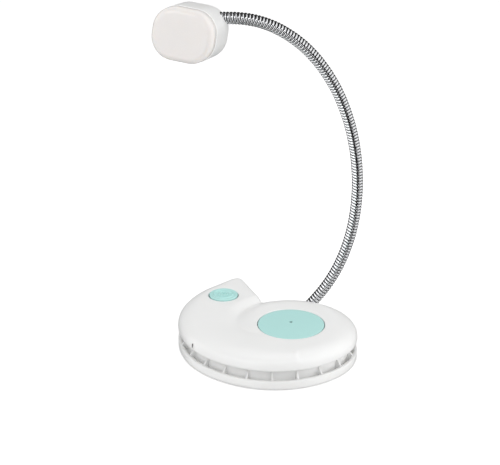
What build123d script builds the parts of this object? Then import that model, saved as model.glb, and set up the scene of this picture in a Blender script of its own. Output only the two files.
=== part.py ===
"""Clip-on reading lamp: a snail-shaped sprung clip, a chrome gooseneck and a small LED head.

Millimetres, +Z up. The origin is on the axis of the round trim disc, on the plane that the clip
rests on. +X is to the right and +Y points away from the clip's mouth, towards its hinge.
"""
from build123d import *
from math import atan2, cos, degrees, hypot, radians, sin, sqrt
import os

os.makedirs("parts", exist_ok=True)

# ---- driving dimensions: snail outline, three tangent arcs and a straight end face ----
whorl_r = 28.6            # inner whorl, about the disc's axis
front_r = 38.0            # middle arc, round the front
tail_r = 43.9             # outer arc, round the left side to the tail
notch_deg = 114.0         # where the end face meets the inner whorl
whorl_end_deg = -39.0     # inner whorl to middle arc
front_end_deg = -110.0    # middle arc to outer arc
tip_deg = -248.0          # tip of the tail
tip_round = 4.2           # plan radius at the tail's tip
notch_round = 2.5         # plan radius in the notch

# ---- lower jaw ----
floor_t = 2.0
floor_round = 0.9
lip_h = 4.2
lip_t = 1.5
rib_t = 0.9
rib_count = 22
rib_phase_deg = 7.4
rib_centre = (-8.0, 7.0)
wall_inset = 3.4          # outer face of the jaw's inner wall, in from the outline
wall_t = 1.4
wall_top = 8.0
jaw_wall_end_y = 20.0     # the lip, ribs and inner wall stop here, ahead of the hinge
pad_t = 0.45
pad_gap = 0.1             # between the two closed grip pads
pad_end_y = 2.0

# ---- housing: top shell and bottom cover ----
body_z0 = 8.6             # lower edge of the shell
body_top = 15.0
shell_t = 1.7
shell_round = 3.8
fit_gap = 0.2             # loose fit of one housing piece in another
cover_t = 1.2
belly_x = (-26.0, 8.0)    # battery box that hangs below the cover, behind the mouth
belly_y = (2.0, 25.0)
belly_z0 = 3.2
belly_t = 1.2
boss_od = 4.6             # screw bosses
screw_r = 0.9
screw_head_r = 1.9
screw_head_h = 1.0
screw_len = 3.4
screw_at = [(-36.0, 4.0), (-7.0, -21.0), (17.0, -4.0), (-25.5, 44.3)]

# ---- trim disc, button, indicator ----
disc_r = 14.3
disc_t = 0.85
disc_crown = 0.15
dot_r = 0.8
dot_at = (0.0, 1.6)
button_at = (-29.6, 29.8)
button_r = 6.4
button_gap = 0.3
button_flange = 1.0       # that the cap's flange stands out under the shell
button_flange_t = 0.9
button_stem_r = 1.5
button_proud = 0.35
button_travel = 0.5
slot_at_deg = 213.0       # about the outer arc's centre
slot_w = 1.0
slot_h = 1.9
slot_z = 10.6
slot_depth = 0.8

# ---- electronics ----
board_t = 1.0
board_post_h = 0.3
switch_size = 5.2
switch_h = 0.5
switch_dome_h = 0.2
usb_w = 7.5
usb_h = 2.5
usb_depth = 5.4
usb_wall = 0.35
usb_z0 = 10.05
battery_size = (30.0, 18.0, 5.0)
foam_t = 0.4
battery_lead_r = 0.3
foot_lead_r = 0.7
board_screw_at = [(-38.0, 22.0), (-29.5, 17.5)]

# ---- hinge of the clip ----
hinge_y = 36.0
hinge_z = 5.4
knuckle_r = 2.9
pin_r = 1.0
pin_play = 0.05
jaw_ears_x = [(-36.0, -33.0), (-22.0, -19.0)]
housing_knuckles_x = [(-32.7, -29.7), (-25.3, -22.3)]
spring_wire_r = 0.3
spring_r = 1.75
spring_turns = 5
spring_leg = 6.5
spring_rest_gap = 0.1     # under and over the legs

# ---- gooseneck ----
neck_r = 2.45
neck_bore_r = 1.5
neck_wire_r = 0.9
neck_play = 0.12          # ball end in cup
neck_len = 169.0
neck_foot = (11.73, 31.36, 11.97)   # where the neck clears the housing
neck_azimuth = 15.4       # of the plane that the neck curls in
neck_lean = 8.8           # forward lean of that plane
neck_start_deg = 49.8     # rise of the neck at its foot
neck_bends = [20.1, 14.6, 11.1, 9.9, 10.9, 14.0, 19.3, 26.8]
neck_root_len = 10.0      # straight tail of the first section, down into its boss
neck_tip_len = 16.0       # straight end of the last section, into the head
boss_x = (0.0, 13.6)
boss_y = (25.0, 36.6)
boss_z = (2.2, 8.5)
boss_round = 4.0
ferrule_t = 0.9
ferrule_len = 5.5
set_screw_r = 1.0

# ---- head ----
head_reach = (-18.52, -18.82, -2.64)   # from the neck's last bend to the middle of the diffuser's front
head_normal = (-0.232, -0.947, 0.118)
head_roll = -8.0
head_w = 25.0
head_h = 20.9
head_corner = 9.2
head_depth = 24.5
lens_depth = 5.0
lens_round = 2.6
lens_t = 1.6
seam = 0.35
head_shell_t = 1.5
head_back_round = 2.4
head_ferrule_len = 3.2
led_board_z = -8.0        # back of the LED board, in from the diffuser's front
led_size = (2.8, 3.5, 0.7)
led_columns = 3
led_rows = 2
led_pitch = (6.0, 6.5)


def polar(centre, r, deg):
    return (centre[0] + r * cos(radians(deg)), centre[1] + r * sin(radians(deg)))


whorl_c = (0.0, 0.0)
front_c = polar(whorl_c, whorl_r - front_r, whorl_end_deg)
tail_c = polar(front_c, front_r - tail_r, front_end_deg)
tip = polar(tail_c, tail_r, tip_deg)
notch = polar(whorl_c, whorl_r, notch_deg)
end_len = hypot(notch[0] - tip[0], notch[1] - tip[1])
end_dir = ((notch[0] - tip[0]) / end_len, (notch[1] - tip[1]) / end_len)
end_out = (-end_dir[1], end_dir[0])
end_angle = degrees(atan2(end_out[1], end_out[0]))


def end_line_meets(centre, r, inset, near):
    """The point where the end face, moved in by inset, crosses a circle, on the side of near."""
    px = tip[0] - end_out[0] * inset - centre[0]
    py = tip[1] - end_out[1] * inset - centre[1]
    b = px * end_dir[0] + py * end_dir[1]
    root = sqrt(b * b - (px * px + py * py - r * r))
    hits = [(px + end_dir[0] * t + centre[0], py + end_dir[1] * t + centre[1])
            for t in (-b - root, -b + root)]
    return min(hits, key=lambda q: hypot(q[0] - near[0], q[1] - near[1]))


def arc_edge(centre, r, start, end):
    """A clockwise arc from point start to point end."""
    a0 = degrees(atan2(start[1] - centre[1], start[0] - centre[0]))
    a1 = degrees(atan2(end[1] - centre[1], end[0] - centre[0]))
    while a1 > a0:
        a1 -= 360
    return ThreePointArc(start, polar(centre, r, (a0 + a1) / 2), end)


def snail(inset=0.0):
    """The snail outline as a face, moved in by inset."""
    ra, rb, rc = whorl_r - inset, front_r - inset, tail_r - inset
    p0 = end_line_meets(whorl_c, ra, inset, notch)
    p1 = polar(whorl_c, ra, whorl_end_deg)
    p2 = polar(front_c, rb, front_end_deg)
    p3 = end_line_meets(tail_c, rc, inset, tip)
    face = make_face([arc_edge(whorl_c, ra, p0, p1), arc_edge(front_c, rb, p1, p2),
                      arc_edge(tail_c, rc, p2, p3), Line(p3, p0)])
    near_tip = min(face.vertices(), key=lambda v: hypot(v.X - p3[0], v.Y - p3[1]))
    face = fillet(near_tip, max(tip_round - inset, 0.6))
    near_notch = min(face.vertices(), key=lambda v: hypot(v.X - p0[0], v.Y - p0[1]))
    return fillet(near_notch, notch_round + inset)


def slab(inset, z0, z1):
    return extrude(Pos(0, 0, z0) * snail(inset), z1 - z0)


def ring(outer, inner, z0, z1):
    return slab(outer, z0, z1) - slab(inner, z0 - 1, z1 + 1)


def block(x, y, z):
    """A box between pairs of limits."""
    size = [b - a for a, b in (x, y, z)]
    return Pos(*[(a + b) / 2 for a, b in (x, y, z)]) * Box(*size)


def rod(start, end, r):
    """A round bar from one point to another."""
    way = Vector(*end) - Vector(*start)
    return Plane(origin=start, z_dir=way) * extrude(Circle(r), way.length)


def x_rod(x0, x1, y, z, r):
    return rod((x0, y, z), (x1, y, z), r)


def wire(points, r, bend):
    """A round wire along straight runs joined by tangent arcs."""
    path = FilletPolyline(*points, radius=bend)
    return sweep(Plane(origin=path @ 0, z_dir=path % 0) * Circle(r), path=path)


def save(name, *solids):
    shape = solids[0] if len(solids) == 1 else Compound(children=list(solids))
    export_step(shape, f"parts/{name}.step")


far = 200.0   # beyond every piece


# ---- lower jaw and its pad ----
def make_lower_jaw():
    floor = slab(0, 0, floor_t)
    floor = fillet(floor.edges().group_by(Axis.Z)[0], floor_round)
    wall_ring = ring(wall_inset, wall_inset + wall_t, floor_t / 2, wall_top)
    lip = ring(0, lip_t, floor_t / 2, lip_h)
    gusset = loft([Pos(0, 0, lip_h) * snail(lip_t / 2), Pos(0, 0, wall_top) * snail(wall_inset + wall_t / 2)])
    gusset += slab(lip_t / 2, floor_t / 2, lip_h)
    gusset -= slab(wall_inset + wall_t / 2, 0, wall_top + 1)
    spokes = None
    for i in range(rib_count):
        angle = rib_phase_deg + 360 / rib_count * i
        if sin(radians(angle)) * whorl_r + rib_centre[1] > jaw_wall_end_y:
            continue
        spoke = block((0, 2 * tail_r), (-rib_t / 2, rib_t / 2), (floor_t / 2, wall_top))
        spoke = Pos(*rib_centre, 0) * Rot(0, 0, angle) * spoke
        spokes = spoke if spokes is None else spokes + spoke
    front = block((-far, far), (-far, jaw_wall_end_y), (0, far))
    jaw = floor + ((wall_ring + lip + (gusset & spokes)) & front)
    for x0, x1 in jaw_ears_x:
        ear = x_rod(x0, x1, hinge_y, hinge_z, knuckle_r)
        ear += block((x0, x1), (hinge_y - knuckle_r, hinge_y + knuckle_r), (floor_t / 2, hinge_z))
        jaw += ear - x_rod(x0 - 1, x1 + 1, hinge_y, hinge_z, pin_r + pin_play)
    return jaw


def pad_ring(outer, inner, z0, z1):
    return ring(outer, inner, z0, z1) & block((-far, far), (-far, pad_end_y), (0, far))


save("lower_jaw", make_lower_jaw())
save("jaw_pad", pad_ring(wall_inset + 0.1, wall_inset + wall_t - 0.1, wall_top, wall_top + pad_t))

# ---- hinge pin and spring ----
pin_x = (jaw_ears_x[0][0] + 0.2, jaw_ears_x[1][1] - 0.2)
save("hinge_pin", x_rod(*pin_x, hinge_y, hinge_z, pin_r))


def make_spring():
    """A torsion spring round the pin: one leg lies on the jaw's floor, the other under the cover."""
    pitch = 2 * spring_wire_r + 0.1
    middle = (housing_knuckles_x[0][1] + housing_knuckles_x[1][0]) / 2
    x0 = middle - pitch * spring_turns / 2
    seat = Plane(origin=(x0, hinge_y, hinge_z), x_dir=(0, 0, -1), z_dir=(1, 0, 0))
    coil_path = Helix(pitch=pitch, height=pitch * spring_turns, radius=spring_r)
    section = Plane(origin=coil_path @ 0, z_dir=coil_path % 0) * Circle(spring_wire_r)
    coil = seat * sweep(section, path=coil_path)
    x1 = x0 + pitch * (spring_turns - 0.5)
    low_end = (x0, hinge_y + spring_leg, floor_t + spring_rest_gap + spring_wire_r)
    high_end = (x1, hinge_y + spring_leg, body_z0 - spring_rest_gap - spring_wire_r)
    low = rod((x0, hinge_y - 0.2, hinge_z - spring_r), low_end, spring_wire_r)
    high = rod((x1, hinge_y - 0.2, hinge_z + spring_r), high_end, spring_wire_r)
    return coil + low + high


save("torsion_spring", make_spring())

# ---- housing: top shell ----
shell_inner_top = body_top - shell_t
disc_seat_z = body_top - disc_t + disc_crown
cover_top = body_z0 + cover_t
button_flange_top = shell_inner_top - 0.05
button_flange_z0 = button_flange_top - button_flange_t
neck_up = Vector(-sin(radians(neck_azimuth)) * -sin(radians(neck_lean)),
                 cos(radians(neck_azimuth)) * -sin(radians(neck_lean)), cos(radians(neck_lean)))
neck_out = Vector(cos(radians(neck_azimuth)), sin(radians(neck_azimuth)), 0)
neck_plane = Plane(origin=neck_foot, x_dir=neck_out, z_dir=neck_out.cross(neck_up))
foot_dir = neck_out * cos(radians(neck_start_deg)) + neck_up * sin(radians(neck_start_deg))
neck_root = Vector(*neck_foot) - foot_dir * neck_root_len
usb_middle = ((tip[0] + notch[0]) / 2, (tip[1] + notch[1]) / 2)
usb_place = Pos(usb_middle[0], usb_middle[1], usb_z0 + usb_h / 2) * Rot(0, 0, end_angle)


def neck_clearance(gap):
    return rod(tuple(neck_root), tuple(neck_root + foot_dir * (neck_root_len * 2)), neck_r + gap)


def make_top_shell():
    outer = slab(0, body_z0, body_top)
    outer = fillet(outer.edges().group_by(Axis.Z)[-1], shell_round)
    inner = slab(shell_t, body_z0 - 1, shell_inner_top)
    inner = fillet(inner.edges().group_by(Axis.Z)[-1], shell_round - shell_t)
    shell = outer - inner
    for x, y in screw_at:
        boss = extrude(Circle(boss_od / 2), shell_inner_top - cover_top)
        shell += Pos(x, y, cover_top + fit_gap / 2) * boss
        shell -= Pos(x, y, body_z0 - 1) * extrude(Circle(screw_r + 0.05), screw_len + screw_head_h + 1.2)
    shell &= slab(0, 0, body_top + 1)
    shell -= Pos(0, 0, disc_seat_z) * extrude(Circle(disc_r + 0.1), far)
    shell -= Pos(*dot_at, 0) * extrude(Circle(dot_r + 0.05), far)
    shell -= Pos(*button_at, 0) * extrude(Circle(button_r + button_gap), far)
    shell -= usb_place * Box(4 * shell_t, usb_w + 2 * fit_gap, usb_h + 2 * fit_gap)
    slot_middle = Pos(*polar(tail_c, tail_r, slot_at_deg), slot_z)
    shell -= slot_middle * Rot(0, 0, slot_at_deg) * Box(2 * slot_depth, slot_w, slot_h)
    shell -= neck_clearance(fit_gap)
    return shell


save("top_shell", make_top_shell())
slot_place = Pos(*polar(tail_c, tail_r - slot_depth + 0.25, slot_at_deg), slot_z) * Rot(0, 0, slot_at_deg)
save("indicator_window", slot_place * Box(0.4, slot_w, slot_h))

# ---- housing: bottom cover with battery box, hinge knuckles and the neck's boss ----
ferrule_r = neck_r + 0.02 + ferrule_t
belly_mid_x = (belly_x[0] + belly_x[1]) / 2
battery_x = (belly_mid_x - battery_size[0] / 2, belly_mid_x + battery_size[0] / 2)
battery_y = (belly_y[0] + belly_t + fit_gap, belly_y[0] + belly_t + fit_gap + battery_size[1])


def make_bottom_cover():
    cover = slab(shell_t + fit_gap, body_z0, cover_top)
    belly = block(belly_x, belly_y, (belly_z0, cover_top))
    cover += belly & slab(shell_t + fit_gap, belly_z0, cover_top)
    cover += belly & block((-far, far), (-far, far), (0, boss_z[1]))
    boss = block(boss_x, boss_y, boss_z)
    cover += fillet(boss.edges().filter_by(Axis.Z), boss_round)
    cover += block((boss_x[0], belly_x[1]), (belly_y[1] - belly_t, boss_y[0] + boss_round), boss_z)
    cover -= block((belly_x[0] + belly_t, belly_x[1] - belly_t), (belly_y[0] + belly_t, belly_y[1] - belly_t),
                   (belly_z0 + belly_t, far))
    for x0, x1 in housing_knuckles_x:
        cover += block((x0, x1), (hinge_y - knuckle_r, hinge_y + knuckle_r), (hinge_z, cover_top))
        cover += x_rod(x0, x1, hinge_y, hinge_z, knuckle_r)
    cover -= x_rod(-far, far, hinge_y, hinge_z, pin_r + pin_play)
    for x, y in screw_at:
        cover -= Pos(x, y, 0) * extrude(Circle(screw_r + 0.1), far)
        cover -= Pos(x, y, body_z0 - 1) * extrude(Circle(screw_head_r + 0.1), 1 + screw_head_h + 0.02)
        seat = Circle(boss_od / 2) - Circle(screw_r + 0.1)
        cover += Pos(x, y, body_z0 + screw_head_h + 0.02) * extrude(seat, 0.2)
    for x, y in board_screw_at:
        cover += Pos(x, y, cover_top) * extrude(Circle(1.6), board_post_h)
        cover -= Pos(x, y, cover_top - 0.9) * extrude(Circle(0.65), far)
    cover -= rod(tuple(neck_root), tuple(neck_root + foot_dir * far), ferrule_r + 0.02)
    cover -= rod(tuple(neck_root - foot_dir * 1.5), tuple(neck_root + foot_dir), neck_bore_r)
    cover -= rod(tuple(neck_root - foot_dir), wire_gate, 1.3)
    cover -= rod((set_screw_x, boss_y[1] + 1, set_screw_z), (set_screw_x, neck_root.Y + 1, set_screw_z),
                 set_screw_r + 0.05)
    groove = ring(wall_inset - 0.4, wall_inset + wall_t + 0.4, 0, pad_seat_z)
    cover -= groove & block((-far, far), (-far, pad_end_y + 0.1), (0, far))
    return cover - socket_room()


def socket_room():
    return usb_place * Pos(-usb_depth / 2, 0, 0) * Box(usb_depth + 2, usb_w + 0.4, usb_h + 0.4)


wire_gate = (belly_x[1] - 4.0, battery_y[1] + foot_lead_r + 0.3, 6.4)
set_screw_x = neck_root.X + foot_dir.X * ferrule_len / 2
set_screw_z = neck_root.Z + foot_dir.Z * ferrule_len / 2
pad_seat_z = wall_top + 2 * pad_t + pad_gap
save("bottom_cover", make_bottom_cover())
save("housing_pad", pad_ring(wall_inset - 0.3, wall_inset + wall_t + 0.3, pad_seat_z - pad_t, pad_seat_z))

cover_screws = []
for x, y in screw_at:
    head = Pos(x, y, body_z0 + 0.02) * extrude(Circle(screw_head_r), screw_head_h)
    drive = Pos(x, y, body_z0) * Box(2.0, 0.5, 1.0) + Pos(x, y, body_z0) * Box(0.5, 2.0, 1.0)
    thread = Pos(x, y, body_z0 + screw_head_h) * extrude(Circle(screw_r), screw_len)
    cover_screws.append(head - drive + thread)
save("cover_screws", *cover_screws)

# ---- trim disc and its light pipe ----
disc = Pos(0, 0, disc_seat_z) * extrude(Circle(disc_r), disc_t)
disc = fillet(disc.edges().group_by(Axis.Z)[-1], 0.25)
save("trim_disc", disc - Pos(*dot_at, 0) * extrude(Circle(dot_r + 0.05), far))
board_z0 = cover_top + board_post_h
board_top = board_z0 + board_t
led_top = board_top + 0.7
save("light_pipe", Pos(*dot_at, led_top + 0.1) * extrude(Circle(dot_r), disc_seat_z + disc_t - led_top - 0.5))

# ---- main board and what it carries ----
board = block((-31.0, 5.0), (-3.0, 20.0), (board_z0, board_top))
board += usb_place * Pos(-12.5, -3.0, board_z0 + board_t / 2 - usb_z0 - usb_h / 2) * Box(23, 24, board_t)
board &= slab(shell_t + 1.0, board_z0, board_top)
for x, y in board_screw_at:
    board -= Pos(x, y, 0) * extrude(Circle(0.8), far)
for x, y in screw_at:
    board -= Pos(x, y, 0) * extrude(Circle(boss_od / 2 + 0.3), far)
board -= socket_room()
save("main_board", board)
socket_tongue = Pos(0, 0, -0.2) * Box(usb_depth, usb_w - 2.6, 0.6)
socket_mouth = Box(usb_depth, usb_w - 2 * usb_wall, usb_h - 2 * usb_wall) - socket_tongue
socket = Box(usb_depth, usb_w, usb_h) - Pos(0.6, 0, 0) * socket_mouth
save("usb_socket", usb_place * Pos(-usb_depth / 2 - 0.3, 0, 0) * socket)
switch = Pos(*button_at, board_top + switch_h / 2) * Box(switch_size, switch_size, switch_h)
save("tact_switch", switch + Pos(*button_at, board_top + switch_h) * extrude(Circle(1.3), switch_dome_h))
save("charge_led", Pos(*dot_at, board_top + 0.35) * Box(1.6, 1.2, 0.7))
save("board_screws", *[Pos(x, y, board_top) * extrude(Circle(1.3), 0.6)
                       + Pos(x, y, board_top - 1.9) * extrude(Circle(0.6), 2.0) for x, y in board_screw_at])

battery_z0 = belly_z0 + belly_t + 0.05
battery = block(battery_x, battery_y, (battery_z0, battery_z0 + battery_size[2]))
save("battery", fillet(battery.edges().filter_by(Axis.Y), 1.2))
foam_z0 = battery_z0 + battery_size[2] + 0.02
save("battery_foam", block((battery_x[0] + 4, battery_x[1] - 4), (battery_y[0] + 3, battery_y[1] - 3),
                           (foam_z0, foam_z0 + foam_t)))


# ---- power button ----
def make_button():
    cap_h = body_top + button_proud - button_flange_z0
    cap = Pos(*button_at, button_flange_z0) * extrude(Circle(button_r), cap_h)
    cap = fillet(cap.edges().group_by(Axis.Z)[-1], 0.5)
    stem_z0 = board_top + switch_h + switch_dome_h + button_travel + 0.05
    cap += Pos(*button_at, stem_z0) * extrude(Circle(button_stem_r), button_flange_z0 + 0.2 - stem_z0)
    flange = Pos(*button_at, button_flange_z0) * extrude(Circle(button_r + button_flange), button_flange_t)
    flange &= slab(shell_t + 0.4, 0, far)
    flange -= usb_place * Pos(-usb_depth / 2 - 0.3, 0, 0) * Box(usb_depth + 0.6, usb_w + 0.6, 4 * usb_h)
    return cap + flange


save("power_button", make_button())

# ---- gooseneck: sections with a ball at one end and a cup at the other ----
section_count = len(neck_bends)
section_len = neck_len / section_count


def neck_ends():
    """Joint centres in the neck's plane, with the rise of the neck at each."""
    x, y, rise = 0.0, 0.0, neck_start_deg
    stations = [(x, y, rise)]
    for bend in neck_bends:
        chord = section_len * sin(radians(bend / 2)) / radians(bend / 2)
        x += chord * cos(radians(rise + bend / 2))
        y += chord * sin(radians(rise + bend / 2))
        rise += bend
        stations.append((x, y, rise))
    return stations


stations = neck_ends()


def in_plane(x, y):
    return neck_plane.from_local_coords(Vector(x, y, 0))


def along(rise):
    return neck_out * cos(radians(rise)) + neck_up * sin(radians(rise))


def bent_bar(i, r):
    """The plain bent bar of section i, between two joint centres."""
    (x0, y0, a0), (x1, y1, a1) = stations[i], stations[i + 1]
    bend_r = section_len / radians(neck_bends[i])
    mid = (x0 - bend_r * sin(radians(a0)) + bend_r * sin(radians((a0 + a1) / 2)),
           y0 + bend_r * cos(radians(a0)) - bend_r * cos(radians((a0 + a1) / 2)))
    path = neck_plane * ThreePointArc((x0, y0), mid, (x1, y1))
    return sweep(Plane(origin=in_plane(x0, y0), z_dir=along(a0)) * Circle(r), path=path)


def make_section(i):
    start, end = in_plane(*stations[i][:2]), in_plane(*stations[i + 1][:2])
    outer, bore = bent_bar(i, neck_r), bent_bar(i, neck_bore_r)
    if i == 0:
        root = start - along(stations[0][2]) * neck_root_len
        outer += rod(tuple(root), tuple(start), neck_r)
        bore += rod(tuple(root - foot_dir), tuple(start), neck_bore_r)
    if i == section_count - 1:
        out = along(stations[-1][2])
        outer += rod(tuple(end), tuple(end + out * neck_tip_len), neck_r)
        bore += rod(tuple(end), tuple(end + out * (neck_tip_len + 1)), neck_bore_r)
    else:
        out = along(stations[i + 1][2])
        outer += Pos(*end) * Sphere(neck_r)
        bore += rod(tuple(end), tuple(end + out * 2 * neck_r), neck_bore_r)
    section = outer - bore
    if i > 0:
        section -= Pos(*start) * Sphere(neck_r + neck_play)
    return section


def make_neck_wire(i):
    """The lead inside section i: it ends inside the ball and starts clear of the ball before it."""
    core = bent_bar(i, neck_wire_r)
    start, end = in_plane(*stations[i][:2]), in_plane(*stations[i + 1][:2])
    if i == 0:
        core += rod(tuple(neck_root), tuple(start), neck_wire_r)
    else:
        core -= Pos(*start) * Sphere(neck_r + 0.5)
    reach = neck_tip_len if i == section_count - 1 else neck_r - 0.5
    return core + rod(tuple(end), tuple(end + along(stations[i + 1][2]) * reach), neck_wire_r)


for i in range(section_count):
    save(f"neck_section_{i + 1}", make_section(i))
    save(f"neck_wire_{i + 1}", make_neck_wire(i))
for i in range(1, section_count):
    print("neck joint", i, [round(v, 3) for v in in_plane(*stations[i][:2])], "along",
          [round(v, 4) for v in along(stations[i][2])])
print("neck curl axis", [round(v, 4) for v in neck_plane.z_dir])

# ---- the neck's foot ----
ferrule = rod(tuple(neck_root), tuple(neck_root + foot_dir * ferrule_len), ferrule_r)
ferrule -= rod(tuple(neck_root - foot_dir), tuple(neck_root + foot_dir * far), neck_r + 0.02)
save("neck_ferrule", ferrule)
set_screw_end_y = neck_root.Y + foot_dir.Y * ferrule_len / 2 + ferrule_r + 0.05
save("neck_set_screw", rod((set_screw_x, boss_y[1] - 0.2, set_screw_z),
                           (set_screw_x, set_screw_end_y, set_screw_z), set_screw_r))
foot_lead_drop = 0.356 * ferrule_r   # clears the ferrule's end on the way to the gate
foot_lead = [tuple(neck_root - foot_dir * 0.1), tuple(neck_root - foot_dir * foot_lead_drop), wire_gate,
             (wire_gate[0], wire_gate[1], board_z0 - 0.05)]
save("foot_lead", wire(foot_lead, foot_lead_r, 0.8))

# ---- battery leads, from the cell's end up to the board ----
lead_x = battery_x[0] - battery_lead_r - 0.1
tab_z = battery_z0 + 0.6 * battery_size[2]
battery_leads = []
for y in (battery_y[0] + 5.0, battery_y[0] + 7.0):
    run = [(battery_x[0] - 0.02, y, tab_z), (lead_x, y, tab_z), (lead_x, y, board_z0 - 0.02)]
    battery_leads.append(wire(run, battery_lead_r, battery_lead_r + 0.05))
save("battery_leads", *battery_leads)

# ---- head: everything is drawn about the diffuser's front and then placed ----
head_z = Vector(*head_normal).normalized()
level = Vector(0, 0, 1).cross(head_z).normalized()
head_x = level.rotate(Axis((0, 0, 0), tuple(head_z)), head_roll)
neck_end = in_plane(*stations[-1][:2])
neck_end_dir = along(stations[-1][2])
head_place = Plane(origin=neck_end + Vector(*head_reach), x_dir=head_x, z_dir=head_z)


def head_block(inset, z0, z1):
    face = RectangleRounded(head_w - 2 * inset, head_h - 2 * inset, max(head_corner - inset, 0.5))
    return Pos(0, 0, z0) * extrude(face, z1 - z0)


tip_local = head_place.to_local_coords(neck_end + neck_end_dir * neck_tip_len)
end_local = head_place.to_local_coords(neck_end)
tip_way = (tip_local - end_local).normalized()
ferrule_start = tip_local - tip_way * head_ferrule_len


def make_diffuser():
    lens = head_block(0.15, -lens_depth, 0)
    lens = fillet(lens.edges().group_by(Axis.Z)[-1], lens_round)
    hollow = head_block(lens_t, -lens_depth - 1, -lens_t)
    return lens - fillet(hollow.edges().group_by(Axis.Z)[-1], 1.2)


def make_head_shell():
    shell = head_block(0, -head_depth, -lens_depth - seam)
    shell = fillet(shell.edges().group_by(Axis.Z)[0], head_back_round)
    hollow = head_block(head_shell_t, -head_depth + head_shell_t, 1)
    shell -= fillet(hollow.edges().group_by(Axis.Z)[0], head_back_round - head_shell_t)
    inner_step = head_block(head_shell_t - 0.1, led_board_z - 1.2, led_board_z - 0.1)
    shell += inner_step - head_block(head_shell_t + 1.6, led_board_z - 2, 0)
    sleeve = rod(tuple(ferrule_start), tuple(tip_local), ferrule_r + 1.4)
    shell += sleeve & head_block(0.4, -head_depth + 0.4, led_board_z - 1.2)
    shell -= rod(tuple(ferrule_start - tip_way * 0.1), tuple(tip_local + tip_way * 2), ferrule_r + 0.02)
    shell -= rod(tuple(end_local - tip_way * 2), tuple(tip_local), neck_r + 0.1)
    return shell


save("diffuser", head_place * make_diffuser())
save("head_shell", head_place * make_head_shell())
led_plate = head_block(head_shell_t + 0.3, led_board_z, led_board_z + 1.0)
save("led_board", head_place * led_plate)
leds = []
for column in range(led_columns):
    for row in range(led_rows):
        x = (column - (led_columns - 1) / 2) * led_pitch[0]
        y = (row - (led_rows - 1) / 2) * led_pitch[1]
        leds.append(head_place * Pos(x, y, led_board_z + 1.0 + led_size[2] / 2) * Box(*led_size))
save("leds", *leds)
reflector = head_block(head_shell_t + 0.4, led_board_z + 1.05, led_board_z + 1.35)
for column in range(led_columns):
    for row in range(led_rows):
        x = (column - (led_columns - 1) / 2) * led_pitch[0]
        y = (row - (led_rows - 1) / 2) * led_pitch[1]
        reflector -= Pos(x, y, led_board_z + 1.2) * Box(led_size[0] + 0.4, led_size[1] + 0.4, 1)
save("reflector", head_place * reflector)
head_ferrule = rod(tuple(ferrule_start), tuple(tip_local), ferrule_r)
head_ferrule -= rod(tuple(end_local), tuple(tip_local + tip_way), neck_r + 0.02)
save("head_ferrule", head_place * head_ferrule)
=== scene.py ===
import math

import bmesh
import bpy
import numpy as np
from mathutils import Matrix, Vector
from mathutils.geometry import delaunay_2d_cdt


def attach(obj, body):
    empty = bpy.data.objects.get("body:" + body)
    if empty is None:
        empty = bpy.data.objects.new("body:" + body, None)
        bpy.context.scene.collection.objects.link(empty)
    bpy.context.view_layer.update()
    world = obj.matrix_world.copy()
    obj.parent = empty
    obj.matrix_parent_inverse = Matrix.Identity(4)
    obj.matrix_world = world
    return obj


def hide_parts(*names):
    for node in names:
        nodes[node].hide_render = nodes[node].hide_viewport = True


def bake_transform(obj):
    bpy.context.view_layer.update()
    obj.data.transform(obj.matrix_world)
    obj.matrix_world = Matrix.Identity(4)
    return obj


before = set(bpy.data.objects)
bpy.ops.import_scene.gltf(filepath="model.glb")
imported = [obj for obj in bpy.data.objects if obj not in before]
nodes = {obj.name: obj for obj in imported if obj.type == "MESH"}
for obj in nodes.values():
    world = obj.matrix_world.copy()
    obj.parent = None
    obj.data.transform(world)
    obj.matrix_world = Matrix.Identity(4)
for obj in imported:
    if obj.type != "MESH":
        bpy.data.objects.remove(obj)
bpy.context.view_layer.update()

mm = 0.001


# helpers for colours, nodes and materials
def linearColour(text, alpha=1.0):  # sRGB hex, such as "f2f1ef", to Blender's linear values
    parts = [int(text[i:i + 2], 16) / 255 for i in (0, 2, 4)]
    return [c / 12.92 if c <= 0.04045 else ((c + 0.055) / 1.055) ** 2.4 for c in parts] + [alpha]


def addNode(tree, kind, settings=None, links=None):  # settings: sockets by name or node properties
    node = tree.nodes.new(kind)
    for key, value in (settings or {}).items():
        if isinstance(key, int) or key in node.inputs.keys():
            node.inputs[key].default_value = value
        else:
            setattr(node, key, value)
    for key, socket in (links or {}).items():
        tree.links.new(socket, node.inputs[key])
    return node


def newMaterial(name):
    mat = bpy.data.materials.new(name)
    mat.use_nodes = True
    tree = mat.node_tree
    tree.nodes.clear()
    out = addNode(tree, "ShaderNodeOutputMaterial")
    shader = addNode(tree, "ShaderNodeBsdfPrincipled")
    tree.links.new(shader.outputs[0], out.inputs["Surface"])
    coords = addNode(tree, "ShaderNodeTexCoord")
    return mat, tree, shader, coords.outputs["Object"]


def grain(tree, coords, sizeMm):  # noise whose lumps are sizeMm across
    return addNode(tree, "ShaderNodeTexNoise", {"Scale": 1 / (sizeMm * mm)}, {"Vector": coords})


def bump(tree, shader, height, depthMm):
    node = addNode(tree, "ShaderNodeBump", {"Distance": depthMm * mm}, {"Height": height})
    tree.links.new(node.outputs[0], shader.inputs["Normal"])


def spread(tree, source, low, high):  # turns a 0..1 value into low..high
    return addNode(tree, "ShaderNodeMapRange", {"To Min": low, "To Max": high}, {"Value": source}).outputs[0]


def blendColours(tree, source, colour, shade):  # from colour to shade as a 0..1 value rises
    ends = {6: linearColour(colour), 7: linearColour(shade)}
    return addNode(tree, "ShaderNodeMix", {"data_type": "RGBA", **ends}, {0: source}).outputs[2]


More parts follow.
